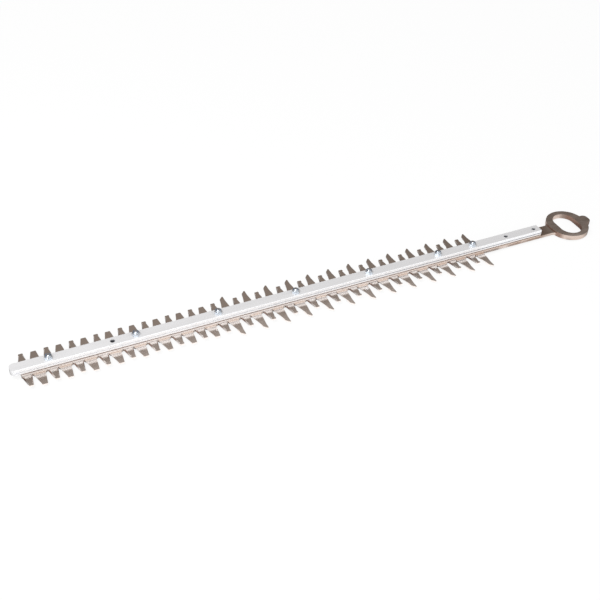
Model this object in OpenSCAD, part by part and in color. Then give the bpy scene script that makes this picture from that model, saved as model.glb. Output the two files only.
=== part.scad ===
/* [Cutting teeth] */
// Distance from one tooth to the next on the same blade
pitch = 35; // [30:0.5:40]
// Teeth along each edge of each blade
tooth_count = 21; // [15:1:24]
// Short reach teeth of the lower blade, counted from the nose
short_count = 8; // [0:1:12]
// Reach of the upper blade's small teeth from the bar's middle
small_reach = 33.5; // [28:0.5:38]
// Width of a small tooth at its root
small_root_w = 14; // [11:0.5:16]
// Width of a small tooth at its tip
small_tip_w = 5.8; // [4:0.2:8]
// Reach of the lower blade's short teeth from the bar's middle
short_reach = 35; // [30:0.5:40]
// Width of a lower tooth at its root
lower_root_w = 16.4; // [13:0.4:18]
// Width of a lower tooth at its short tip
lower_tip_w = 7.2; // [5:0.2:9]
// Length of the blunt nose that a tall tooth carries past the short reach
nose_reach = 10.5; // [6:0.5:14]
// Width of that nose
nose_w = 6.4; // [4.5:0.1:8]
// Slant of the nose's end, along the tooth
nose_slant = 5; // [2:0.5:8]
// Lean of a small tooth's tip towards the drive end
small_lean = 1.4; // [0:0.1:3]
// Lean of a lower tooth's tip towards the drive end
lower_lean = 2.2; // [0:0.1:4]
// Radius in the gullet beside a tooth
gullet_r = 3; // [1:0.5:4]
// Radius of a tooth's tip corners
tip_r = 0.8; // [0.4:0.1:1.5]
// Width of the ground bevel on a tooth's flank
bevel_w = 1.4; // [1:0.1:2.5]
// Thickness left at the ground cutting edge
edge_land = 0.3; // [0.2:0.05:0.6]
// Length of tooth tip that the grinding leaves square
unground_tip = 3; // [2:0.5:5]

/* [Blades] */
// Thickness of each blade
blade_t = 2.2; // [1.8:0.1:3]
// Width of the spine that carries the teeth, and of the neck
spine_w = 22; // [20:0.5:26]
// Running gap at each sliding face
face_gap = 0.05; // [0.03:0.01:0.1]
// Blade end to the first small tooth's tip centre
blade_nose = 8.4; // [8.4:0.2:14]
// Travel of each blade, end to end
stroke = 17.5; // [10:0.5:20]
// Spare slot length past the travel, at each end
slot_spare = 1; // [0.5:0.25:3]

/* [Drive eye] */
// Diameter of the drive cam that turns in the eye
cam_d = 37; // [30:1:40]
// Gap round the cam
cam_gap = 0.1; // [0.05:0.05:0.3]
// Straight run of the eye's sides, across the bar
eye_straight = 18; // [18:0.5:24]
// Ring wall ahead of and behind the cam
eye_wall = 14.2; // [9:0.1:16]
// Ring wall at the two sides
eye_side_wall = 8.8; // [6:0.2:12]
// Thickness of each eye
eye_t = 4; // [3.2:0.1:5]
// Radius between the neck and the eye
neck_fillet = 9; // [6:1:16]
// Rail's square end to the middle of the eye
eye_gap = 59; // [50:0.5:80]
// Width of the lug behind the eye
lug_w = 19.6; // [14:0.2:24]
// Length of the lug past the ring
lug_length = 9.8; // [4:0.2:12]
// Corner radius of the lug
lug_r = 7; // [2:0.5:9]

/* [Guide rail] */
// Width of the rail
rail_w = 16.6; // [15:0.2:19]
// Height of the rail
rail_h = 9.2; // [7:0.2:11]
// Rail end ahead of the first small tooth's tip centre
rail_nose = 21.2; // [16:0.4:30]
// Corner radius of the rail's nose, seen from above
rail_corner_r = 7; // [2:0.5:8]
// Edge chamfer along the rail
rail_chamfer = 0.5; // [0.3:0.1:1]
// Depth of the groove along each side
groove_depth = 1.1; // [0.6:0.1:2]
// Height of that groove
groove_h = 1.2; // [0.8:0.1:2]
// Rail underside to the groove
groove_rise = 3.4; // [2:0.1:4.5]
// Last fixing hole to the rail's square end
rail_tail = 10.8; // [8:0.2:16]

/* [Bolts and bushes] */
// Thread diameter of the blade bolts
bolt_d = 6; // [5:1:6]
// Gap round a bolt in its hole
bolt_gap = 0.2; // [0.1:0.05:0.4]
// Blade bolts at equal spacing
bolt_count = 6; // [4:1:6]
// First small tooth's tip centre to the first bolt
first_bolt = 31.5; // [28:0.5:36]
// Spacing of those bolts
bolt_spacing = 122.5; // [105:0.5:126]
// Last evenly spaced bolt to the end bolt
end_bolt_step = 64; // [50:1:70]
// Outside diameter of the guide bushes
bush_d = 9; // [8.5:0.1:10]
// Gap between a bush and the slot's side
bush_gap = 0.1; // [0.05:0.05:0.2]
// Diameter of the button head
head_d = 11; // [10:0.2:12]
// Height of the button head
head_h = 3.2; // [2.6:0.1:4]
// Hexagon socket across its flats
socket_w = 4; // [3:0.5:4.5]
// Depth of that socket
socket_depth = 1.9; // [1.2:0.1:2.2]
// Outside diameter of the washers
washer_d = 15; // [14:0.5:18]
// Thickness of the washers
washer_t = 1.2; // [1:0.1:2]
// Lock nut across its flats
nut_w = 10; // [9:0.5:11]
// Height of the nut's hexagon
nut_hex_h = 4; // [3:0.1:6]
// Height of the nut's rounded collar
nut_collar_h = 2; // [1:0.1:2.5]
// Bolt end past the nut
bolt_end = 1; // [0.2:0.1:2]

/* [Rail holes] */
// Last bolt to the first fixing hole
fix_step = 63.5; // [50:0.5:70]
// Spacing of the two fixing holes
fix_spacing = 54; // [45:0.5:60]
// Diameter of the fixing holes
fix_hole_d = 6.6; // [5.5:0.1:7]
// First bolt to the nose hole
nose_hole_step = 89; // [70:1:95]
// Diameter of the nose hole
nose_hole_d = 7; // [5:0.1:8]

/* [Hidden] */
$fn = 48;

// Overrun of every cut
over = 1;
// Steps in the arc of a small corner, a large one and the neck's fillet
small_steps = 2;
large_steps = 4;
fillet_steps = 8;

// Heights of the stack, from the bolt heads up
washer_z = head_h;
bush_z = washer_z + washer_t;
bush_h = 2 * blade_t + 3 * face_gap;
lower_z = bush_z + face_gap;
upper_z = lower_z + blade_t + face_gap;
rail_z = bush_z + bush_h;
nut_z = rail_z + rail_h;
bolt_top = nut_z + nut_hex_h + nut_collar_h + bolt_end;

// Places along the bar, from the first small tooth's tip centre
even_bolts = [for (i = [0:bolt_count - 1]) first_bolt + i * bolt_spacing];
end_bolt_x = even_bolts[bolt_count - 1] + end_bolt_step;
bolt_xs = concat(even_bolts, [end_bolt_x]);
fix_xs = [end_bolt_x + fix_step, end_bolt_x + fix_step + fix_spacing];
nose_hole_x = first_bolt + nose_hole_step;
slot_xs = concat(bolt_xs, fix_xs);
rail_end = fix_xs[1] + rail_tail;
eye_x = rail_end + eye_gap;

// Sizes of the eye and of the slots
cam_hole_r = cam_d / 2 + cam_gap;
eye_outer_r = cam_hole_r + eye_wall;
eye_half_w = cam_hole_r + eye_straight / 2 + eye_side_wall;
eye_outer_shift = eye_half_w - eye_outer_r;
lug_end = eye_x + eye_outer_r + lug_length;
slot_w = bush_d + 2 * bush_gap;
slot_travel = stroke + 2 * slot_spare;
bolt_hole_d = bolt_d + 2 * bolt_gap;
// Gap between a bolt and its nut, where the thread is left plain
thread_gap = 0.05;
centre_x = (lug_end - rail_nose) / 2;

// Outline helpers: a rounded corner at p between a and b, and a closed chain of such corners
function unit(v) = v / norm(v);
function corner(a, p, b, r, steps) =
    let (u = unit(a - p), v = unit(b - p), half = acos(u * v) / 2)
    let (middle = p + unit(u + v) * r / sin(half))
    let (start = p + u * r / tan(half) - middle, end = p + v * r / tan(half) - middle)
    [for (i = [0:steps]) middle + r * unit(start * (steps - i) + end * i)];

// A tooth on the spine's edge: its corners run up one flank, over the tip and down the other
module tooth_outline(left, tip, right) {
    root = spine_w / 2;
    foot = 2 * gullet_r;
    chain = concat([[left - foot, root], [left, root]], tip, [[right, root], [right + foot, root]]);
    last = len(chain) - 1;
    arcs = [for (i = [1:last - 1])
        let (at_root = i == 1 || i == last - 1)
        corner(chain[i - 1], chain[i], chain[i + 1], at_root ? gullet_r : tip_r, at_root ? large_steps : small_steps)];
    polygon(concat([[left - foot, root - over]], [for (arc = arcs) each arc], [[right + foot, root - over]]));
}

// Wedge that grinds one flank, from point a to point b, with the steel on its right or its left
module flank_wedge(a, b, steel_on_right) {
    fall = unit([bevel_w, edge_land - blade_t]) * over;
    inner = [-bevel_w, blade_t] - fall;
    outer = [0, edge_land] + fall;
    translate(a)
        rotate([0, 0, atan2(b.y - a.y, b.x - a.x)])
            mirror([0, steel_on_right ? 0 : 1, 0])
                rotate([90, 0, 90])
                    linear_extrude(norm(b - a))
                        polygon([inner, outer, [outer.x, inner.y]]);
}

// Part of the line from a to b, from one distance to another
function stretch(a, b, from, to) = [a + unit(b - a) * from, a + unit(b - a) * to];

// One tooth, with both its cutting flanks ground on top
module tooth(root_w, lean, tip_w, reach, tip) {
    left = -lean - root_w / 2;
    right = -lean + root_w / 2;
    left_root = [left, spine_w / 2];
    right_root = [right, spine_w / 2];
    left_tip = [-tip_w / 2, reach];
    right_tip = [tip_w / 2, reach];
    left_run = stretch(left_root, left_tip, gullet_r, norm(left_tip - left_root) - unground_tip);
    right_run = stretch(right_root, right_tip, gullet_r, norm(right_tip - right_root) - unground_tip);
    difference() {
        linear_extrude(blade_t) tooth_outline(left, tip, right);
        flank_wedge(left_run[0], left_run[1], true);
        flank_wedge(right_run[0], right_run[1], false);
    }
}

// Small tooth of the upper blade
module small_tooth() {
    tooth(small_root_w, small_lean, small_tip_w, small_reach,
        [[-small_tip_w / 2, small_reach], [small_tip_w / 2, small_reach]]);
}

// Short tooth of the lower blade
module short_tooth() {
    tooth(lower_root_w, lower_lean, lower_tip_w, short_reach,
        [[-lower_tip_w / 2, short_reach], [lower_tip_w / 2, short_reach]]);
}

// Tall tooth of the lower blade, with a blunt nose past its cutting flanks
module tall_tooth() {
    nose_side = lower_tip_w / 2;
    tall_reach = short_reach + nose_reach;
    tooth(lower_root_w, lower_lean, lower_tip_w, short_reach,
        [[-nose_side, short_reach], [nose_side - nose_w, tall_reach - nose_slant],
        [nose_side - nose_w / 4, tall_reach], [nose_side, tall_reach], [nose_side, short_reach]]);
}

// Teeth along both edges
module both_edges() {
    for (side = [0, 1]) mirror([0, side, 0]) children();
}

// Slot with round ends, along the bar
module slot(x) {
    height = blade_t + 2 * over;
    for (side = [-1, 1])
        translate([x + side * slot_travel / 2, 0, -over]) cylinder(d = slot_w, h = height);
    translate([x - slot_travel / 2, -slot_w / 2, -over]) cube([slot_travel, slot_w, height]);
}

// Stadium that lies across the bar at the eye
module eye_stadium(radius, shift, base, height) {
    for (side = [-1, 1])
        translate([eye_x, side * shift, base]) cylinder(r = radius, h = height, $fn = 96);
    translate([eye_x - radius, -shift, base]) cube([2 * radius, 2 * shift, height]);
}

// Fillets that lead the neck into the eye's ring, and end a little inside it
module neck_fillets() {
    ring_middle = [eye_x, eye_outer_shift];
    rise = spine_w / 2 + neck_fillet - eye_outer_shift;
    span = eye_outer_r + neck_fillet;
    middle = ring_middle + [-sqrt(span * span - rise * rise), rise];
    towards_ring = unit(ring_middle - middle);
    arc = [for (i = [0:fillet_steps - 1])
        middle + neck_fillet * unit([0, -1] * (fillet_steps - i) + towards_ring * i)];
    both_edges()
        linear_extrude(blade_t)
            polygon(concat([[middle.x, 0]], arc,
                [middle + towards_ring * (neck_fillet + over), ring_middle, [eye_x, 0]]));
}

// Lug with rounded corners, behind the eye
module lug() {
    tip = eye_outer_r + lug_length;
    side = lug_w / 2;
    chain = [[0, -side], [tip, -side], [tip, side], [0, side]];
    translate([eye_x, 0, 0]) linear_extrude(eye_t) polygon(concat([chain[0]],
        corner(chain[0], chain[1], chain[2], lug_r, large_steps),
        corner(chain[1], chain[2], chain[3], lug_r, large_steps), [chain[3]]));
}

// Blade without its teeth: spine, neck, drive eye, slots and cam hole, its shearing face at zero
module blade() {
    difference() {
        union() {
            translate([-blade_nose, -spine_w / 2, 0]) cube([eye_x + blade_nose, spine_w, blade_t]);
            children();
            neck_fillets();
            eye_stadium(eye_outer_r, eye_outer_shift, 0, eye_t);
            lug();
        }
        for (x = slot_xs) slot(x);
        eye_stadium(cam_hole_r, eye_straight / 2, -over, eye_t + 2 * over);
        translate([-blade_nose - pitch, -small_reach, -over]) cube([pitch, 2 * small_reach, blade_t + 2 * over]);
    }
}

// Upper blade, ground on its top side
module upper_blade() {
    color("#857a74")
        translate([-centre_x, 0, upper_z])
            blade()
                for (i = [0:tooth_count - 1]) translate([i * pitch, 0, 0]) both_edges() small_tooth();
}

// Lower blade, half a pitch on and ground on its underside
module lower_blade() {
    color("#7a706b")
        translate([-centre_x, 0, lower_z + blade_t])
            mirror([0, 0, 1])
                blade()
                    for (i = [0:tooth_count - 1])
                        translate([(i + 1 / 2) * pitch, 0, 0])
                            both_edges()
                                if (i < short_count) short_tooth();
                                else tall_tooth();
}

// Rail's section, seen along the bar, with a groove in each side
module rail_section() {
    side = rail_w / 2;
    half = [[side - rail_chamfer, 0], [side, rail_chamfer], [side, groove_rise],
        [side - groove_depth, groove_rise], [side - groove_depth, groove_rise + groove_h],
        [side, groove_rise + groove_h], [side, rail_h - rail_chamfer], [side - rail_chamfer, rail_h]];
    last = len(half) - 1;
    polygon(concat(half, [for (i = [0:last]) [-half[last - i].x, half[last - i].y]]));
}

// Rail's outline from above, with a rounded nose
module rail_plan() {
    side = rail_w / 2;
    chain = [[rail_end, side], [-rail_nose, side], [-rail_nose, -side], [rail_end, -side]];
    polygon(concat([chain[0]], corner(chain[0], chain[1], chain[2], rail_corner_r, large_steps),
        corner(chain[1], chain[2], chain[3], rail_corner_r, large_steps), [chain[3]]));
}

// Guide rail: a cut length of extrusion, drilled for the bolts
module guide_rail() {
    color("#dfe0e2")
        translate([-centre_x, 0, rail_z])
            difference() {
                intersection() {
                    translate([-rail_nose, 0, 0]) rotate([90, 0, 90]) linear_extrude(rail_nose + rail_end) rail_section();
                    linear_extrude(rail_h) rail_plan();
                }
                for (x = bolt_xs) rail_hole(x, bolt_hole_d);
                for (x = fix_xs) rail_hole(x, fix_hole_d);
                rail_hole(nose_hole_x, nose_hole_d);
            }
}

// Hole down through the rail
module rail_hole(x, diameter) {
    translate([x, 0, -over]) cylinder(d = diameter, h = rail_h + 2 * over);
}

// Copies of a fastener at every bolt
module at_bolts() {
    for (x = bolt_xs) translate([x - centre_x, 0, 0]) children();
}

// Hexagon across its flats
module hexagon(across, height) {
    cylinder(d = across / cos(30), h = height, $fn = 6);
}

// Button head bolt that stands on its head
module blade_bolt() {
    rim = head_h / 4;
    crown_r = head_d / 3;
    dome = [for (angle = [0:15:90])
        [crown_r + (head_d / 2 - crown_r) * sin(angle), (head_h - rim) * (1 - cos(angle))]];
    tip = bolt_d / 10;
    difference() {
        rotate_extrude() polygon(concat([[0, 0]], dome, [[head_d / 2, head_h], [bolt_d / 2, head_h],
            [bolt_d / 2, bolt_top - tip], [bolt_d / 2 - tip, bolt_top], [0, bolt_top]]));
        translate([0, 0, -over]) hexagon(socket_w, socket_depth + over);
    }
}

module blade_bolts() {
    color("#c9ccd1") at_bolts() blade_bolt();
}

// Ring round the bolt
module ring(outside_d, inside_d, base, height) {
    translate([0, 0, base]) difference() {
        cylinder(d = outside_d, h = height);
        translate([0, 0, -over]) cylinder(d = inside_d, h = height + 2 * over);
    }
}

// Washers between the bolt heads and the lower blade
module bolt_washers() {
    color("#bfc3c8") at_bolts() ring(washer_d, bolt_hole_d, washer_z, washer_t);
}

// Lock nut: a hexagon with its corners turned off, under a rounded collar
module lock_nut() {
    corner_r = nut_w / 2 / cos(30);
    turned = corner_r - nut_w / 2;
    collar_r = nut_w / 2 - turned / 2;
    collar_round = nut_collar_h * 3 / 4;
    collar_top = nut_hex_h + nut_collar_h;
    collar = [for (angle = [0:15:90])
        [collar_r - collar_round * (1 - cos(angle)), collar_top - collar_round * (1 - sin(angle))]];
    translate([0, 0, nut_z]) difference() {
        union() {
            intersection() {
                hexagon(nut_w, nut_hex_h);
                rotate_extrude() polygon([[0, 0], [nut_w / 2, 0], [corner_r, turned / 2],
                    [corner_r, nut_hex_h - turned / 2], [nut_w / 2, nut_hex_h], [0, nut_hex_h]]);
            }
            rotate_extrude() polygon(concat([[0, nut_hex_h], [collar_r, nut_hex_h]], collar, [[0, collar_top]]));
        }
        translate([0, 0, -over]) cylinder(d = bolt_d + 2 * thread_gap, h = collar_top + 2 * over);
    }
}

module lock_nuts() {
    color("#d3d8de") at_bolts() lock_nut();
}

// Guide bush that the blades slide along
module guide_bush(x) {
    color("#8f9196") translate([x - centre_x, 0, 0]) ring(bush_d, bolt_hole_d, bush_z, bush_h);
}

guide_rail();
upper_blade();
lower_blade();
blade_bolts();
bolt_washers();
lock_nuts();
for (i = [0:bolt_count])
    guide_bush(bolt_xs[i]);
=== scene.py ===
import math

import bmesh
import bpy
from mathutils import Matrix, Vector


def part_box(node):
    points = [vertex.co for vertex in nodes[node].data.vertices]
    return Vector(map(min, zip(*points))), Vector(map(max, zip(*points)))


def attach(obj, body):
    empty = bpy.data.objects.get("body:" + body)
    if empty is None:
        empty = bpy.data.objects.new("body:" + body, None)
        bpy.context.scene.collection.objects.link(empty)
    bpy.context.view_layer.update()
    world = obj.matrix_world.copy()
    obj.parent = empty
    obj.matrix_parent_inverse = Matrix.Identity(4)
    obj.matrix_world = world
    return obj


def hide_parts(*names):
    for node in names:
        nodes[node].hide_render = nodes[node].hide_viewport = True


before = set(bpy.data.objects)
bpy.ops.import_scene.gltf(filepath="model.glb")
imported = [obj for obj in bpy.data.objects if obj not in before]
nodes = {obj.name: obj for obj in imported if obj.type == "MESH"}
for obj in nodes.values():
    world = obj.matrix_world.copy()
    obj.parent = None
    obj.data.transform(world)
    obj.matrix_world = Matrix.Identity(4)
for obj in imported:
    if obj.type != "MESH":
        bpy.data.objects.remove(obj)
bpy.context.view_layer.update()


# Camera
# The photograph's view: from the near side, past the bar's nose, looking down on it at 39 degrees.
# Its place is counted from the first small tooth, as far from it as the picture's perspective says.
MM = 0.001
FIRST_TOOTH = Vector((-458.35, 0, 7.5)) * MM
CAMERA_OFFSET = Vector((-111.7, -1029.4, 924.4)) * MM
DOWN = math.radians(38.93)
TURN = math.radians(26.73)
ROLL = math.radians(2.47)
LENS = 59.7
SENSOR = 36

forward = Vector((math.sin(TURN) * math.cos(DOWN), math.cos(TURN) * math.cos(DOWN), -math.sin(DOWN)))
level_right = forward.cross(Vector((0, 0, 1))).normalized()
level_up = level_right.cross(forward)
right = level_right * math.cos(ROLL) + level_up * math.sin(ROLL)
up = level_up * math.cos(ROLL) - level_right * math.sin(ROLL)
camera_data = bpy.data.cameras.new("camera")
camera_data.lens = LENS
camera_data.sensor_width = SENSOR
camera = bpy.data.objects.new("camera", camera_data)
camera_turned = Matrix((right, up, -forward)).transposed().to_4x4()
camera.matrix_world = Matrix.Translation(FIRST_TOOTH + CAMERA_OFFSET) @ camera_turned
bpy.context.collection.objects.link(camera)
bpy.context.scene.camera = camera


# Studio
# A dim warm room above and behind, white in front, round a white sweep: polished steel mirrors the room on
# its level faces and the sweep on its near edges. One soft lamp gives the floor its shadow, and the sweep
# that steel mirrors is dim close under the bar and round the drive eye, where contact shade lies.
WHITE = "#ffffff"
ROOM_DIM = "#706964"
ROOM_MIDDLE = "#958c86"
ROOM_HIGH = "#a49c97"
ROOM_DIM_TO = 0.54
ROOM_MIDDLE_AT = 0.63
ROOM_HIGH_FROM = 0.72
ROOM_FRONT_FROM = -0.1
ROOM_FRONT_FULL = -0.4
LIGHT_FRONT = 1.47
LIGHT_BACK = 0.1
LAMP_PLACE = Vector((-1000, -500, 1700)) * MM
LAMP_AIM = Vector((-350, 0, 0)) * MM
LAMP_SIZE = 900 * MM
LAMP_WATTS = 22.5
SWEEP = "#f4f4f4"
SWEEP_SIZE = 12000 * MM
SWEEP_LIFT = 0.88
BAR_SHADE_FROM = -22 * MM
BAR_SHADE_FULL = -16 * MM
BAR_SHADE_END = 300 * MM
EYE_SHADE_START = 412 * MM
EYE_SHADE_FROM = -42 * MM
EYE_SHADE_FULL = -24 * MM
EYE_LIGHT_MIDDLE = (430 * MM, 20 * MM, 0)
EYE_LIGHT_TO = 18 * MM
EYE_DARK_FROM = 24 * MM


def linear(hex_colour, alpha=1.0):
    """sRGB hex to the linear colour that a shader takes."""
    values = [int(hex_colour[i:i + 2], 16) / 255 for i in (1, 3, 5)]
    return tuple(v / 12.92 if v <= 0.04045 else ((v + 0.055) / 1.055) ** 2.4 for v in values) + (alpha,)


def add(tree, kind, inputs=None, stops=(), **settings):
    """Adds a node with its settings, its inputs linked or set by name or number, and a ramp's stops."""
    made = tree.nodes.new(kind)
    for name, value in settings.items():
        setattr(made, name, value)
    for name, value in (inputs or {}).items():
        if isinstance(value, bpy.types.NodeSocket):
            tree.links.new(value, made.inputs[name])
        elif isinstance(value, str):
            made.inputs[name].default_value = linear(value)
        else:
            made.inputs[name].default_value = value
    while stops and len(made.color_ramp.elements) < len(stops):
        made.color_ramp.elements.new(0.5)
    for number, (place, colour) in enumerate(stops):
        made.color_ramp.elements[number].position = place
        made.color_ramp.elements[number].color = linear(colour)
    return made


def where_all(tree, first, *others):
    """Multiplies masks: full where every one is full, and none where any is none."""
    for mask in others:
        first = add(tree, "ShaderNodeMath", {0: first, 1: mask}, operation="MULTIPLY").outputs[0]
    return first


world = bpy.data.worlds.new("studio")
bpy.context.scene.world = world
world.use_nodes = True
sky = world.node_tree
sky.nodes.clear()
ray = add(sky, "ShaderNodeLightPath").outputs
direction = add(sky, "ShaderNodeSeparateXYZ", {0: add(sky, "ShaderNodeTexCoord").outputs["Generated"]}).outputs
room = add(sky, "ShaderNodeValToRGB", {0: direction["Z"]}, [(0, ROOM_DIM), (ROOM_DIM_TO, ROOM_DIM),
    (ROOM_MIDDLE_AT, ROOM_MIDDLE), (ROOM_HIGH_FROM, ROOM_HIGH), (1, ROOM_HIGH)]).outputs[0]
front = add(sky, "ShaderNodeMapRange", {0: direction["Y"], 1: ROOM_FRONT_FROM, 2: ROOM_FRONT_FULL}).outputs[0]
whole_room = add(sky, "ShaderNodeMix", {0: front, 6: room, 7: WHITE}, data_type="RGBA").outputs[2]
level = add(sky, "ShaderNodeMapRange",
    {0: direction["Y"], 1: -1, 2: 1, 3: LIGHT_FRONT, 4: LIGHT_BACK}).outputs[0]
even = add(sky, "ShaderNodeBackground", {"Color": WHITE, "Strength": level}).outputs[0]
mirrored = add(sky, "ShaderNodeBackground", {"Color": whole_room}).outputs[0]
seen = add(sky, "ShaderNodeBackground", {"Color": WHITE}).outputs[0]
lit = add(sky, "ShaderNodeMixShader", {0: ray["Is Glossy Ray"], 1: even, 2: mirrored}).outputs[0]
whole_sky = add(sky, "ShaderNodeMixShader", {0: ray["Is Camera Ray"], 1: lit, 2: seen}).outputs[0]
add(sky, "ShaderNodeOutputWorld", {"Surface": whole_sky})

lamp_data = bpy.data.lights.new("key_lamp", "AREA")
lamp_data.shape = "SQUARE"
lamp_data.size = LAMP_SIZE
lamp_data.energy = LAMP_WATTS
lamp = bpy.data.objects.new("key_lamp", lamp_data)
lamp.location = LAMP_PLACE
lamp.rotation_euler = (LAMP_AIM - LAMP_PLACE).to_track_quat("-Z", "Y").to_euler()
bpy.context.collection.objects.link(lamp)

half = SWEEP_SIZE / 2
floor_mesh = bpy.data.meshes.new("floor")
floor_mesh.from_pydata([(-half, -half, 0), (half, -half, 0), (half, half, 0), (-half, half, 0)],
    [], [(0, 1, 2, 3)])
floor = bpy.data.objects.new("floor", floor_mesh)
bpy.context.collection.objects.link(floor)

# White paper sweep: matt, so that it keeps the bar's shadow, and lifted to plain white for the camera and
# for what mirrors it.
sweep = bpy.data.materials.new("white_sweep")
sweep.use_nodes = True
tree = sweep.node_tree
tree.nodes.clear()
paper = add(tree, "ShaderNodeBsdfDiffuse", {"Color": SWEEP}).outputs[0]
floor_at = add(tree, "ShaderNodeTexCoord").outputs["Object"]
floor_place = add(tree, "ShaderNodeSeparateXYZ", {0: floor_at}).outputs
# Painted contact shade: what steel mirrors of the sweep glows room-dim, not white, close under the bar and round
# the drive eye, except a lit patch inside the eye.
beside_bar = add(tree, "ShaderNodeMapRange",
    {0: floor_place["Y"], 1: BAR_SHADE_FROM, 2: BAR_SHADE_FULL}).outputs[0]
at_bar = add(tree, "ShaderNodeMath", {0: floor_place["X"], 1: BAR_SHADE_END}, operation="LESS_THAN").outputs[0]
beside_eye = add(tree, "ShaderNodeMapRange",
    {0: floor_place["Y"], 1: EYE_SHADE_FROM, 2: EYE_SHADE_FULL}).outputs[0]
at_eye = add(tree, "ShaderNodeMath",
    {0: floor_place["X"], 1: EYE_SHADE_START}, operation="GREATER_THAN").outputs[0]
from_light = add(tree, "ShaderNodeVectorMath",
    {0: floor_at, 1: EYE_LIGHT_MIDDLE}, operation="DISTANCE").outputs["Value"]
round_light = add(tree, "ShaderNodeMapRange", {0: from_light, 1: EYE_LIGHT_TO, 2: EYE_DARK_FROM}).outputs[0]
under_bar = where_all(tree, beside_bar, at_bar)
under_eye = where_all(tree, beside_eye, round_light, at_eye)
shaded = add(tree, "ShaderNodeMath", {0: under_eye, 1: under_bar}, operation="ADD").outputs[0]
floor_ray = add(tree, "ShaderNodeLightPath").outputs
mirrored_shade = where_all(tree, shaded, floor_ray["Is Glossy Ray"])
glow = add(tree, "ShaderNodeEmission", {"Color": WHITE}).outputs[0]
dim = add(tree, "ShaderNodeEmission", {"Color": ROOM_DIM}).outputs[0]
lifted = add(tree, "ShaderNodeMixShader", {0: mirrored_shade, 1: glow, 2: dim}).outputs[0]
watched = add(tree, "ShaderNodeMath",
    {0: floor_ray["Is Camera Ray"], 1: floor_ray["Is Glossy Ray"]}, operation="MAXIMUM").outputs[0]
lift = add(tree, "ShaderNodeMath", {0: watched, 1: SWEEP_LIFT}, operation="MULTIPLY").outputs[0]
whole_floor = add(tree, "ShaderNodeMixShader", {0: lift, 1: paper, 2: lifted}).outputs[0]
add(tree, "ShaderNodeOutputMaterial", {"Surface": whole_floor})
floor_mesh.materials.append(sweep)

bpy.context.scene.view_settings.view_transform = "Standard"


# Guide rail
# A sawn length of drawn aluminium extrusion, left mill finished and drilled for the bolts.
# Drawing through the die leaves fine lines along it, and the saw leaves its own marks. The bores carry painted
# shade, darker with depth.
RAIL_TONE = "#f4f4f6"
RAIL_TONE_LINE = "#e9eaec"
RAIL_CUT = "#c4c6ca"
RAIL_BORE_SHADE = "#686b72"
RAIL_METAL_SHARE = 0.4
RAIL_ROUGH = (0.36, 0.48)
RAIL_RELIEF = 0.04 * MM
RAIL_RELIEF_SHARE = 0.03
DRAW_LINE = (170 * MM, 0.35 * MM, 0.35 * MM)
SAW_MARK = (0.6 * MM, 20 * MM, 0.6 * MM)
RAIL_CLOUD = (70 * MM, 16 * MM, 16 * MM)
NOISE_LOW = 0.3
NOISE_HIGH = 0.7
LEVEL_FROM = 0.9
LEVEL_FULL = 0.97
UPRIGHT_TO = 0.5
BORE_R = 4 * MM
BORE_LIT_TO = 17.2 * MM
BORE_DARK_FROM = 15.8 * MM
BORES_FROM = -470 * MM
BORES_TO = 375 * MM
GROOVE_SHADE = "#a9acb4"
GROOVE_RISE = 4 * MM
GROOVE_HALF = 0.65 * MM
GROOVE_IN = 6 * MM
GROOVE_OUT = 8.25 * MM
GROOVE_SHADE_FROM = -200 * MM
GROOVE_SHADE_FULL = 300 * MM


def new_material(name, metal_share=0):
    """A material with its tree, its shader and the object coordinates that its patterns use."""
    material = bpy.data.materials.new(name)
    material.use_nodes = True
    made = material.node_tree
    made.nodes.clear()
    shader = add(made, "ShaderNodeBsdfPrincipled", {"Metallic": metal_share})
    add(made, "ShaderNodeOutputMaterial", {"Surface": shader.outputs[0]})
    return material, made, shader, add(made, "ShaderNodeTexCoord").outputs


def stretched_noise(tree, place, size, detail=3):
    """Noise whose marks have that size along each axis, in metres."""
    scale = [1 / length for length in size]
    moved = add(tree, "ShaderNodeMapping", {"Vector": place, "Scale": scale}).outputs[0]
    return add(tree, "ShaderNodeTexNoise", {"Vector": moved, "Scale": 1, "Detail": detail}).outputs["Fac"]


def squareness(tree, normal, axis):
    """How squarely a face looks along an axis, from 0 to 1."""
    part = add(tree, "ShaderNodeSeparateXYZ", {0: normal}).outputs[axis]
    return add(tree, "ShaderNodeMath", {0: part}, operation="ABSOLUTE").outputs[0]


def layered(tree, base, *layers):
    """Lays colours over a base, each given as (where it lies, colour), the last on top."""
    for where, colour in layers:
        base = add(tree, "ShaderNodeMix", {0: where, 6: base, 7: colour}, data_type="RGBA").outputs[2]
    return base


def finish_with(tree, shader, colour, roughness, relief, depth, share):
    """Gives the shader its colour and roughness, and a relief of that depth and share."""
    bump = add(tree, "ShaderNodeBump", {"Height": relief, "Distance": depth, "Strength": share})
    tree.links.new(colour, shader.inputs["Base Color"])
    tree.links.new(roughness, shader.inputs["Roughness"])
    tree.links.new(bump.outputs[0], shader.inputs["Normal"])


def give(names, material):
    """Gives CAD nodes a finish in place of the one they came with."""
    for name in names:
        nodes[name].data.materials.clear()
        nodes[name].data.materials.append(material)


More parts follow.
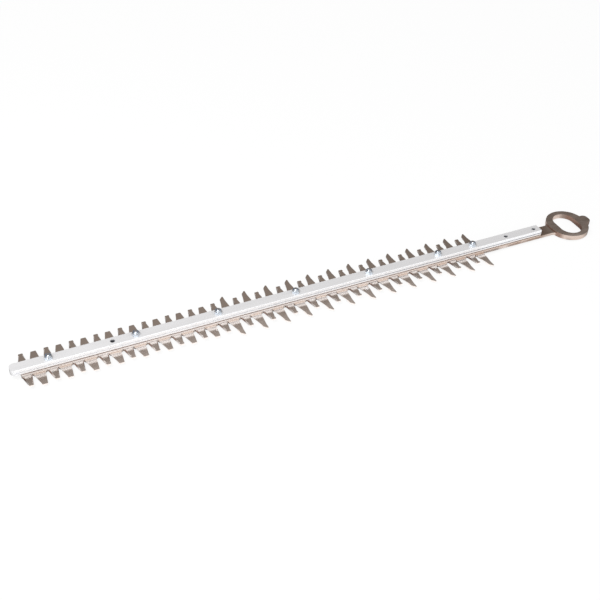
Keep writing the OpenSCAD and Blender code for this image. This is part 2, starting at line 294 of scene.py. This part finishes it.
# Mill finish aluminium: drawn through a die, it has a pale satin skin with fine lines along it. The lines
# are drawn coarser than real ones, so that they show. Painted shade darkens the bores with depth and greys
# the groove, more so towards the drive end.
mill_aluminium, tree, shader, place = new_material("mill_finish_aluminium", RAIL_METAL_SHARE)
draw_lines = stretched_noise(tree, place["Object"], DRAW_LINE)
clouding = stretched_noise(tree, place["Object"], RAIL_CLOUD)
saw_marks = stretched_noise(tree, place["Object"], SAW_MARK)
skin = add(tree, "ShaderNodeValToRGB", {0: draw_lines},
    [(NOISE_LOW, RAIL_TONE_LINE), (NOISE_HIGH, RAIL_TONE)]).outputs[0]
end_on = squareness(tree, place["Normal"], "X")
cut_end = add(tree, "ShaderNodeMapRange", {0: end_on, 1: LEVEL_FROM, 2: LEVEL_FULL}).outputs[0]
rail_place = add(tree, "ShaderNodeSeparateXYZ", {0: place["Object"]}).outputs
off_middle = add(tree, "ShaderNodeMath", {0: rail_place["Y"]}, operation="ABSOLUTE").outputs[0]

top_on = squareness(tree, place["Normal"], "Z")
upright = add(tree, "ShaderNodeMath", {0: top_on, 1: UPRIGHT_TO}, operation="LESS_THAN").outputs[0]
in_bore = add(tree, "ShaderNodeMath", {0: off_middle, 1: BORE_R}, operation="LESS_THAN").outputs[0]
past_nose = add(tree, "ShaderNodeMath",
    {0: rail_place["X"], 1: BORES_FROM}, operation="GREATER_THAN").outputs[0]
before_end = add(tree, "ShaderNodeMath", {0: rail_place["X"], 1: BORES_TO}, operation="LESS_THAN").outputs[0]
# Painted shade: the bores' walls darken with depth.
deep = add(tree, "ShaderNodeMapRange", {0: rail_place["Z"], 1: BORE_LIT_TO, 2: BORE_DARK_FROM}).outputs[0]
painted_bore_shade = where_all(tree, in_bore, upright, past_nose, before_end, deep)

# Painted shade in the side groove, greyer towards the drive end.
groove_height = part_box("guide_rail")[0][2] + GROOVE_RISE
groove_high = add(tree, "ShaderNodeMath",
    {0: rail_place["Z"], 1: groove_height, 2: GROOVE_HALF}, operation="COMPARE").outputs[0]
past_lip = add(tree, "ShaderNodeMath", {0: off_middle, 1: GROOVE_OUT}, operation="LESS_THAN").outputs[0]
off_bores = add(tree, "ShaderNodeMath", {0: off_middle, 1: GROOVE_IN}, operation="GREATER_THAN").outputs[0]
groove_shade_along = add(tree, "ShaderNodeMapRange", {0: rail_place["X"], 1: GROOVE_SHADE_FROM, 2: GROOVE_SHADE_FULL}).outputs[0]
painted_groove_shade = where_all(tree, past_lip, off_bores, groove_high, groove_shade_along)

rail_colour = layered(tree, skin, (painted_groove_shade, GROOVE_SHADE), (cut_end, RAIL_CUT), (painted_bore_shade, RAIL_BORE_SHADE))
rail_rough = add(tree, "ShaderNodeMapRange",
    {0: clouding, 1: NOISE_LOW, 2: NOISE_HIGH, 3: RAIL_ROUGH[0], 4: RAIL_ROUGH[1]}).outputs[0]
rail_marks = add(tree, "ShaderNodeMix", {0: cut_end, 2: draw_lines, 3: saw_marks}).outputs[0]
finish_with(tree, shader, rail_colour, rail_rough, rail_marks, RAIL_RELIEF, RAIL_RELIEF_SHARE)
give(["guide_rail"], mill_aluminium)


# Cutter blades
# Two blades blanked from hardened spring steel. Their faces are ground and polished, the flanks of the
# teeth carry a ground bevel, and the punched edges stay duller. Grease, dried sap and resin from cutting
# lie beside the rail and in the gullets, and a dark line along the rail's foot and the flanks near the
# roots carry painted shade.
STEEL_FACE = "#f2eae4"
STEEL_FACE_WORN = "#e6dcd5"
STEEL_FAR_SIDE = "#e4dad2"
STEEL_NOSE = "#d9d0c9"
STEEL_BEVEL = "#f5efea"
STEEL_EDGE = "#fdf4ee"
FAR_SIDE_FROM = 5 * MM
NOSE_FROM = -340 * MM
NOSE_FULL = -450 * MM
TEMPERED_DARK = "#d2c6be"
TEMPERED_LIGHT = "#f4eae3"
EDGE_TEMPERED_DARK = "#bcaa9e"
EDGE_TEMPERED_LIGHT = "#d9c6ba"
TEMPER_FROM = 375 * MM
TEMPER_FULL = 405 * MM
BEVEL_FROM = 0.3
BEVEL_FULL = 0.45
FLANK_FROM = 0.5
FLANK_FULL = 0.75
GRIND_LINE = (0.25 * MM, 20 * MM, 20 * MM)
PUNCH_MARK = (0.3 * MM, 0.3 * MM, 4 * MM)
STAIN = (30 * MM, 12 * MM, 12 * MM)
STAIN_DETAIL = 5
STAIN_LOW = 0.35
STAIN_HIGH = 0.65
EDGE_STAIN_LOW = 0.42
EDGE_STAIN_HIGH = 0.55
FACE_ROUGH = (0.12, 0.2)
EDGE_ROUGH = 0.3
BLADE_RELIEF = 0.02 * MM
BLADE_RELIEF_SHARE = 0.1
EDGE_METAL_SHARE = 0.86
DULL_METAL_SHARE = 0.62
DULL_ACROSS = 20 * MM
SAP_METAL_SHARE = 0.89
SAP_FROM = -22 * MM
SAP_FULL = -36 * MM
EYE_WALL_SHADE = "#9c8a80"
EYE_WALL_SHADE_FROM = 440 * MM
EYE_WALL_SHADE_FULL = 447 * MM
EYE_WALL_SHADE_ACROSS = 30 * MM
RAIL_FOOT_SHADE = "#93705b"
EDGE_FILM = "#fff8f2"
RAIL_FOOT_SHADE_FULL = 8.7 * MM
RAIL_FOOT_SHADE_TO = 9.6 * MM
RAIL_FOOT_SHADE_MOST = 0.8
GULLET_FULL = 11.5 * MM
GULLET_TO = 13.5 * MM
GULLET_SHARE = 0.4
GULLET_GREASE_SHARE = 0.85
PATCH_LOW = 0.3
PATCH_HIGH = 0.5
PATCH_LEAST = 0.3
GREASE = "#8d7768"
GREASE_FROM = 150 * MM
GREASE_FULL = 330 * MM
THIN_GREASE = "#e0c8b6"
THIN_GREASE_FROM = 0 * MM
THIN_GREASE_FULL = 300 * MM
THIN_GREASE_MOST = 0.75
ROOT_FULL = 11 * MM
ROOT_TO = 16 * MM
BURR_RESIN = "#94664a"
BURR_HALF = 0.22 * MM
BLADE_T = 2.2 * MM
FLANK_SHADE = "#86685a"
FLANK_SHADE_FULL = 19 * MM
FLANK_SHADE_TO = 26 * MM
FLANK_SHADE_MOST = 0.9

# Ground spring steel: polished across the bar, it mirrors the room in a warm grey, and its drive end keeps
# a darker tempered skin. The grinding lines are drawn coarser than real ones, so that they show.
polished_steel, tree, shader, place = new_material("ground_and_polished_steel")
grind = stretched_noise(tree, place["Object"], GRIND_LINE)
punch = stretched_noise(tree, place["Object"], PUNCH_MARK)
stain = stretched_noise(tree, place["Object"], STAIN, STAIN_DETAIL)
blade_place = add(tree, "ShaderNodeSeparateXYZ", {0: place["Object"]}).outputs
across = add(tree, "ShaderNodeMath", {0: blade_place["Y"]}, operation="ABSOLUTE").outputs[0]

# Its faces, bevels and upright edges, told apart by how squarely they look up.
facing = squareness(tree, place["Normal"], "Z")
on_face = add(tree, "ShaderNodeMapRange", {0: facing, 1: LEVEL_FROM, 2: LEVEL_FULL}).outputs[0]
off_face = add(tree, "ShaderNodeMapRange", {0: facing, 1: LEVEL_FULL, 2: LEVEL_FROM}).outputs[0]
on_bevel = add(tree, "ShaderNodeMapRange", {0: facing, 1: BEVEL_FROM, 2: BEVEL_FULL}).outputs[0]
off_bevel = add(tree, "ShaderNodeMapRange", {0: facing, 1: BEVEL_FULL, 2: BEVEL_FROM}).outputs[0]
tempered = add(tree, "ShaderNodeMapRange", {0: blade_place["X"], 1: TEMPER_FROM, 2: TEMPER_FULL}).outputs[0]
ahead = add(tree, "ShaderNodeMapRange", {0: blade_place["X"], 1: TEMPER_FULL, 2: TEMPER_FROM}).outputs[0]

# Clean steel: worn on the faces, darker on the far side, duller at the nose, and painted shade on the inner
# walls at the eye's right end.
worn = add(tree, "ShaderNodeValToRGB", {0: stain},
    [(STAIN_LOW, STEEL_FACE_WORN), (STAIN_HIGH, STEEL_FACE)]).outputs[0]
face_temper = add(tree, "ShaderNodeValToRGB", {0: stain},
    [(STAIN_LOW, TEMPERED_DARK), (STAIN_HIGH, TEMPERED_LIGHT)]).outputs[0]
edge_temper = add(tree, "ShaderNodeValToRGB", {0: stain},
    [(EDGE_STAIN_LOW, EDGE_TEMPERED_DARK), (EDGE_STAIN_HIGH, EDGE_TEMPERED_LIGHT)]).outputs[0]
far_side = add(tree, "ShaderNodeMath", {0: blade_place["Y"], 1: FAR_SIDE_FROM}, operation="GREATER_THAN").outputs[0]
at_nose = add(tree, "ShaderNodeMapRange", {0: blade_place["X"], 1: NOSE_FROM, 2: NOSE_FULL}).outputs[0]
face_tone = layered(tree, worn, (far_side, STEEL_FAR_SIDE), (at_nose, STEEL_NOSE), (tempered, face_temper))
# Painted shade: the inner walls at the eye's right end are painted darker.
in_eye = add(tree, "ShaderNodeMath", {0: across, 1: EYE_WALL_SHADE_ACROSS}, operation="LESS_THAN").outputs[0]
eye_end = add(tree, "ShaderNodeMapRange", {0: blade_place["X"], 1: EYE_WALL_SHADE_FROM, 2: EYE_WALL_SHADE_FULL}).outputs[0]
edge_tone = layered(tree, STEEL_EDGE, (tempered, edge_temper), (where_all(tree, in_eye, eye_end), EYE_WALL_SHADE))
clean_tone = layered(tree, edge_tone, (on_bevel, STEEL_BEVEL), (on_face, face_tone))

# Painted contact shade in a line along the rail's foot, and film in the gullets, greasier towards the drive end
# and broken up in patches.
beside_rail = add(tree, "ShaderNodeMapRange",
    {0: across, 1: RAIL_FOOT_SHADE_TO, 2: RAIL_FOOT_SHADE_FULL, 4: RAIL_FOOT_SHADE_MOST}).outputs[0]
in_gullet = add(tree, "ShaderNodeMapRange", {0: across, 1: GULLET_TO, 2: GULLET_FULL}).outputs[0]
greasy = add(tree, "ShaderNodeMapRange", {0: blade_place["X"], 1: GREASE_FROM, 2: GREASE_FULL}).outputs[0]
gullet_share = add(tree, "ShaderNodeMapRange",
    {0: greasy, 3: GULLET_SHARE, 4: GULLET_GREASE_SHARE}).outputs[0]
gullet_film = where_all(tree, in_gullet, off_face, gullet_share)
shade_and_film = add(tree, "ShaderNodeMath", {0: beside_rail, 1: gullet_film}, operation="MAXIMUM").outputs[0]
patches = add(tree, "ShaderNodeMapRange", {0: stain, 1: PATCH_LOW, 2: PATCH_HIGH, 3: PATCH_LEAST}).outputs[0]
patchy_shade_and_film = where_all(tree, shade_and_film, ahead, patches)
shade_and_film_tone = layered(tree, EDGE_FILM, (on_face, RAIL_FOOT_SHADE), (greasy, GREASE))

# Thin grease on the faces at the roots, resin lines along the punched corners, and painted shade on the flanks
# near the roots.
at_root = add(tree, "ShaderNodeMapRange", {0: across, 1: ROOT_TO, 2: ROOT_FULL}).outputs[0]
grease_along = add(tree, "ShaderNodeMapRange",
    {0: blade_place["X"], 1: THIN_GREASE_FROM, 2: THIN_GREASE_FULL, 4: THIN_GREASE_MOST}).outputs[0]
thin_grease = where_all(tree, at_root, grease_along, ahead, on_face)
blades_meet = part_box("upper_blade")[0][2]
over_seam = add(tree, "ShaderNodeMath",
    {0: blade_place["Z"], 1: blades_meet}, operation="SUBTRACT").outputs[0]
from_corner = add(tree, "ShaderNodeMath", {0: over_seam, 1: BLADE_T / 2}, operation="PINGPONG").outputs[0]
at_corner = add(tree, "ShaderNodeMath", {0: from_corner, 1: BURR_HALF}, operation="LESS_THAN").outputs[0]
burr_line = where_all(tree, at_corner, ahead, at_root, off_bevel)
side_on = squareness(tree, place["Normal"], "X")
on_flank = add(tree, "ShaderNodeMapRange", {0: side_on, 1: FLANK_FROM, 2: FLANK_FULL}).outputs[0]
flank_shade_across = add(tree, "ShaderNodeMapRange", {0: across, 1: FLANK_SHADE_TO, 2: FLANK_SHADE_FULL, 4: FLANK_SHADE_MOST}).outputs[0]
painted_flank_shade = where_all(tree, on_flank, flank_shade_across)

# Dry sap dulls the near tips, and the edges at the neck and in the eye are the dullest.
middle_edge = add(tree, "ShaderNodeMath", {0: across, 1: DULL_ACROSS}, operation="LESS_THAN").outputs[0]
dull_edge = where_all(tree, middle_edge, tempered)
edge_metal = add(tree, "ShaderNodeMapRange",
    {0: dull_edge, 3: EDGE_METAL_SHARE, 4: DULL_METAL_SHARE}).outputs[0]
face_metal = add(tree, "ShaderNodeMapRange",
    {0: blade_place["Y"], 1: SAP_FROM, 2: SAP_FULL, 3: 1, 4: SAP_METAL_SHARE}).outputs[0]
metal_share = add(tree, "ShaderNodeMapRange", {0: on_face, 3: edge_metal, 4: face_metal}).outputs[0]
tree.links.new(metal_share, shader.inputs["Metallic"])

blade_colour = layered(tree, clean_tone, (thin_grease, THIN_GREASE), (patchy_shade_and_film, shade_and_film_tone),
    (burr_line, BURR_RESIN), (painted_flank_shade, FLANK_SHADE))
face_rough = add(tree, "ShaderNodeMapRange",
    {0: grind, 1: NOISE_LOW, 2: NOISE_HIGH, 3: FACE_ROUGH[0], 4: FACE_ROUGH[1]}).outputs[0]
blade_rough = add(tree, "ShaderNodeMix", {0: on_face, 2: EDGE_ROUGH, 3: face_rough}).outputs[0]
blade_marks = add(tree, "ShaderNodeMix", {0: on_face, 2: punch, 3: grind}).outputs[0]
finish_with(tree, shader, blade_colour, blade_rough, blade_marks, BLADE_RELIEF, BLADE_RELIEF_SHARE)
give(["upper_blade", "lower_blade"], polished_steel)


# Bolts and lock nuts
# Seven M6 button head screws stand up through blades and rail. Each is held by a prevailing torque nut:
# a pressed hexagon under a collar that is crimped over a blue nylon ring.
BOLT_D = 6 * MM
THREAD_PITCH = 1 * MM
THREAD_DEPTH = 0.6 * MM
THREAD_LENGTH = 1.8 * MM
THREAD_FLANK = 1.25
THREAD_ROWS = 24
HEAD_D = 11 * MM
HEAD_CROWN = 6
HEAD_RIM = 4
SOCKET_W = 4 * MM
SOCKET_DEPTH = 1.9 * MM
NUT_W = 10 * MM
NUT_HEX_H = 4 * MM
NUT_TURNED = 0.98
NUT_CHAMFER = math.radians(30)
COLLAR_H = 2 * MM
COLLAR_INSET = 0.5 * MM
COLLAR_FOOT_W = 0.1 * MM
COLLAR_FOOT_H = 0.15 * MM
COLLAR_ROUND = 0.9 * MM
CRIMP_R = 3.9 * MM
RING_SINK = 0.25 * MM
RING_GAP = 0.1 * MM
RING_LIP_W = 0.3 * MM
RING_LIP_H = 0.2 * MM
QUARTER = [math.radians(15 * i) for i in range(7)]
FULL_TURN = 2 * math.pi
COLUMNS = 72
WELD = 0.001 * MM
SHARP_FROM = math.radians(32)
TURN_SEED = 4


def radial_mesh(name, profile):
    """A closed mesh round the Z axis from a profile of (radius, height) points at each angle."""
    angles = [FULL_TURN * i / COLUMNS for i in range(COLUMNS)]
    columns = [profile(angle) for angle in angles]
    rows = len(columns[0])
    corners = [(r * math.cos(angle), r * math.sin(angle), z)
        for angle, column in zip(angles, columns) for r, z in column]
    faces = []
    for i in range(COLUMNS):
        here = i * rows
        after = (i + 1) % COLUMNS * rows
        faces += [(here + j, after + j, after + j + 1, here + j + 1) for j in range(rows - 1)]
    mesh = bpy.data.meshes.new(name)
    mesh.from_pydata(corners, [], faces)
    shape = bmesh.new()
    shape.from_mesh(mesh)
    bmesh.ops.remove_doubles(shape, verts=shape.verts, dist=WELD)
    bmesh.ops.recalc_face_normals(shape, faces=shape.faces)
    shape.to_mesh(mesh)
    shape.free()
    mesh.set_sharp_from_angle(angle=SHARP_FROM)
    return bpy.data.objects.new(name, mesh)


def hexagon_radius(across_flats, angle):
    """The radius of a hexagon at an angle, its corners at every sixth of a turn."""
    return across_flats / 2 / math.cos(angle % (math.pi / 3) - math.pi / 6)


bolt_low, bolt_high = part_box("blade_bolts")
nut_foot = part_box("lock_nuts")[0][2]
bolt_foot = bolt_low[2]
bolt_length = bolt_high[2] - bolt_foot
head_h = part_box("bolt_washers")[0][2] - bolt_foot


def bolt_profile(angle):
    """Hexagon socket, button head, plain shank and the thread's last turns."""
    socket = hexagon_radius(SOCKET_W, angle)
    rim = head_h / HEAD_RIM
    crown = [(HEAD_D / 2 - HEAD_D / HEAD_CROWN * (1 - math.sin(a)), (head_h - rim) * (1 - math.cos(a)))
        for a in QUARTER]
    thread_start = bolt_length - THREAD_LENGTH
    thread = []
    for i in range(THREAD_ROWS + 1):
        height = THREAD_LENGTH * i / THREAD_ROWS
        turn = (height / THREAD_PITCH - angle / FULL_TURN) % 1
        groove = THREAD_DEPTH * max(0, 1 - abs(2 * turn - 1) * THREAD_FLANK)
        end_chamfer = max(0, height - THREAD_LENGTH + THREAD_DEPTH)
        thread.append((BOLT_D / 2 - max(groove, end_chamfer), thread_start + height))
    return ([(0, SOCKET_DEPTH), (socket, SOCKET_DEPTH), (socket, 0)] + crown
        + [(HEAD_D / 2, head_h), (BOLT_D / 2, head_h), (BOLT_D / 2, thread_start)]
        + thread + [(0, bolt_length)])


def nut_profile(angle):
    """Hexagon with its corners turned off, and the collar crimped over the ring."""
    corner = hexagon_radius(NUT_W, angle)
    turned = NUT_W / 2 * NUT_TURNED
    drop = max(0, corner - turned) * math.tan(NUT_CHAMFER)
    collar = NUT_W / 2 - COLLAR_INSET
    top = NUT_HEX_H + COLLAR_H
    rounded = [(collar - COLLAR_ROUND * (1 - math.cos(a)), top - COLLAR_ROUND * (1 - math.sin(a)))
        for a in QUARTER]
    return ([(BOLT_D / 2, 0), (turned, 0), (corner, drop), (corner, NUT_HEX_H - drop), (turned, NUT_HEX_H),
        (collar + COLLAR_FOOT_W, NUT_HEX_H), (collar, NUT_HEX_H + COLLAR_FOOT_H)] + rounded
        + [(CRIMP_R, top), (CRIMP_R, NUT_HEX_H), (BOLT_D / 2, NUT_HEX_H), (BOLT_D / 2, 0)])


def ring_profile(angle):
    """Nylon ring between the thread and the crimped collar."""
    low = NUT_HEX_H + RING_GAP
    high = NUT_HEX_H + COLLAR_H - RING_SINK
    inside = BOLT_D / 2 - RING_GAP
    return [(inside, low), (CRIMP_R, low), (CRIMP_R, high), (inside + RING_LIP_W, high),
        (inside, high - RING_LIP_H), (inside, low)]


def instancer():
    """Geometry nodes that set a fastener at every point, each with its own turn."""
    group = bpy.data.node_groups.new("at_every_bolt", "GeometryNodeTree")
    for label, kind in (("Places", "NodeSocketGeometry"), ("Fastener", "NodeSocketObject"),
            ("Most Turn", "NodeSocketFloat"), ("Seed", "NodeSocketInt"), ("Finish", "NodeSocketMaterial")):
        group.interface.new_socket(label, in_out="INPUT", socket_type=kind)
    group.interface.new_socket("Fasteners", in_out="OUTPUT", socket_type="NodeSocketGeometry")
    given = add(group, "NodeGroupInput").outputs
    fastener = add(group, "GeometryNodeObjectInfo", {"Object": given["Fastener"]}).outputs["Geometry"]
    turn = add(group, "FunctionNodeRandomValue", {3: given["Most Turn"], "Seed": given["Seed"]}).outputs[1]
    angles = add(group, "ShaderNodeCombineXYZ", {"Z": turn}).outputs[0]
    set_down = add(group, "GeometryNodeInstanceOnPoints",
        {"Points": given["Places"], "Instance": fastener, "Rotation": angles}).outputs[0]
    solid = add(group, "GeometryNodeRealizeInstances", {0: set_down}).outputs[0]
    finished = add(group, "GeometryNodeSetMaterial", {0: solid, "Material": given["Finish"]}).outputs[0]
    add(group, "NodeGroupOutput", {0: finished})
    return group


fastener_nodes = instancer()


def at_every_bolt(name, master, height, most_turn, material):
    """Sets copies of a fastener where the bushes hold a bolt, in one plain mesh that rides on the guide."""
    bushes = [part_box(bush) for bush in sorted(nodes) if bush.startswith("guide_bush")]
    points = bpy.data.meshes.new(name + "_points")
    points.from_pydata([((low[0] + high[0]) / 2, 0, height) for low, high in bushes], [], [])
    holder = bpy.data.objects.new(name, points)
    bpy.context.collection.objects.link(holder)
    modifier = holder.modifiers.new("at_every_bolt", "NODES")
    modifier.node_group = fastener_nodes
    given = {"Fastener": master, "Most Turn": most_turn, "Seed": TURN_SEED, "Finish": material}
    for item in fastener_nodes.interface.items_tree:
        if item.name in given:
            modifier[item.identifier] = given[item.name]
    evaluated = holder.evaluated_get(bpy.context.evaluated_depsgraph_get())
    whole = bpy.data.meshes.new_from_object(evaluated)
    holder.modifiers.clear()
    holder.data = whole
    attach(holder, "guide")
    return holder


# Bright zinc plate: thin electroplated zinc, passivated to a faint blue, with a fine haze.
ZINC = "#e1e6ec"
ZINC_DARK = "#c4cfda"
ZINC_ROUGH = (0.17, 0.27)
ZINC_HAZE = (1.2 * MM, 1.2 * MM, 1.2 * MM)
ZINC_RELIEF = 0.03 * MM
ZINC_RELIEF_SHARE = 0.15
zinc_plate, tree, shader, place = new_material("bright_zinc_plate", 1)
haze = stretched_noise(tree, place["Object"], ZINC_HAZE)
zinc_colour = add(tree, "ShaderNodeValToRGB", {0: haze},
    [(STAIN_LOW, ZINC_DARK), (STAIN_HIGH, ZINC)]).outputs[0]
zinc_rough = add(tree, "ShaderNodeMapRange",
    {0: haze, 1: NOISE_LOW, 2: NOISE_HIGH, 3: ZINC_ROUGH[0], 4: ZINC_ROUGH[1]}).outputs[0]
finish_with(tree, shader, zinc_colour, zinc_rough, haze, ZINC_RELIEF, ZINC_RELIEF_SHARE)

# Blue nylon: moulded polyamide, slightly glossy, that grips the thread.
NYLON = "#6f8cb0"
NYLON_DARK = "#64809f"
NYLON_ROUGH = (0.35, 0.5)
NYLON_FLOW = (0.8 * MM, 0.8 * MM, 0.8 * MM)
NYLON_RELIEF = 0.02 * MM
NYLON_RELIEF_SHARE = 0.1
blue_nylon, tree, shader, place = new_material("moulded_blue_nylon")
flow = stretched_noise(tree, place["Object"], NYLON_FLOW)
nylon_colour = add(tree, "ShaderNodeValToRGB", {0: flow},
    [(NOISE_LOW, NYLON_DARK), (NOISE_HIGH, NYLON)]).outputs[0]
nylon_rough = add(tree, "ShaderNodeMapRange",
    {0: flow, 1: NOISE_LOW, 2: NOISE_HIGH, 3: NYLON_ROUGH[0], 4: NYLON_ROUGH[1]}).outputs[0]
finish_with(tree, shader, nylon_colour, nylon_rough, flow, NYLON_RELIEF, NYLON_RELIEF_SHARE)

bolt_master = radial_mesh("bolt_master", bolt_profile)
bolts = at_every_bolt("button_head_bolts", bolt_master, bolt_foot, FULL_TURN, zinc_plate)
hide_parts("blade_bolts")
nut_master = radial_mesh("nut_master", nut_profile)
nuts = at_every_bolt("crimped_lock_nuts", nut_master, nut_foot, FULL_TURN, zinc_plate)
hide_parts("lock_nuts")
at_every_bolt("nylon_rings", radial_mesh("ring_master", ring_profile), nut_foot, 0.0, blue_nylon)


# Washers
# Stamped steel washers, plated like the bolts. Each lies between a bolt's head and the lower blade,
# and spreads the bolt's pull.
give(["bolt_washers"], zinc_plate)


# Guide bushes
# Steel rings, turned, hardened and ground. One sits round each bolt in the blades' slots, guides the
# blades and keeps the rail clear of them.
BUSH_STEEL = "#8b8c90"
BUSH_STEEL_DARK = "#77787c"
BUSH_ROUGH = (0.25, 0.35)
TURNING_LINE = (20 * MM, 20 * MM, 0.2 * MM)
BUSH_RELIEF = 0.01 * MM
BUSH_RELIEF_SHARE = 0.1

# Hardened steel: turned, hardened and ground, it keeps fine rings round its axis.
hard_steel, tree, shader, place = new_material("hardened_steel", 1)
turning = stretched_noise(tree, place["Object"], TURNING_LINE)
bush_colour = add(tree, "ShaderNodeValToRGB", {0: turning},
    [(NOISE_LOW, BUSH_STEEL_DARK), (NOISE_HIGH, BUSH_STEEL)]).outputs[0]
bush_rough = add(tree, "ShaderNodeMapRange",
    {0: turning, 1: NOISE_LOW, 2: NOISE_HIGH, 3: BUSH_ROUGH[0], 4: BUSH_ROUGH[1]}).outputs[0]
finish_with(tree, shader, bush_colour, bush_rough, turning, BUSH_RELIEF, BUSH_RELIEF_SHARE)
give([name for name in nodes if name.startswith("guide_bush")], hard_steel)
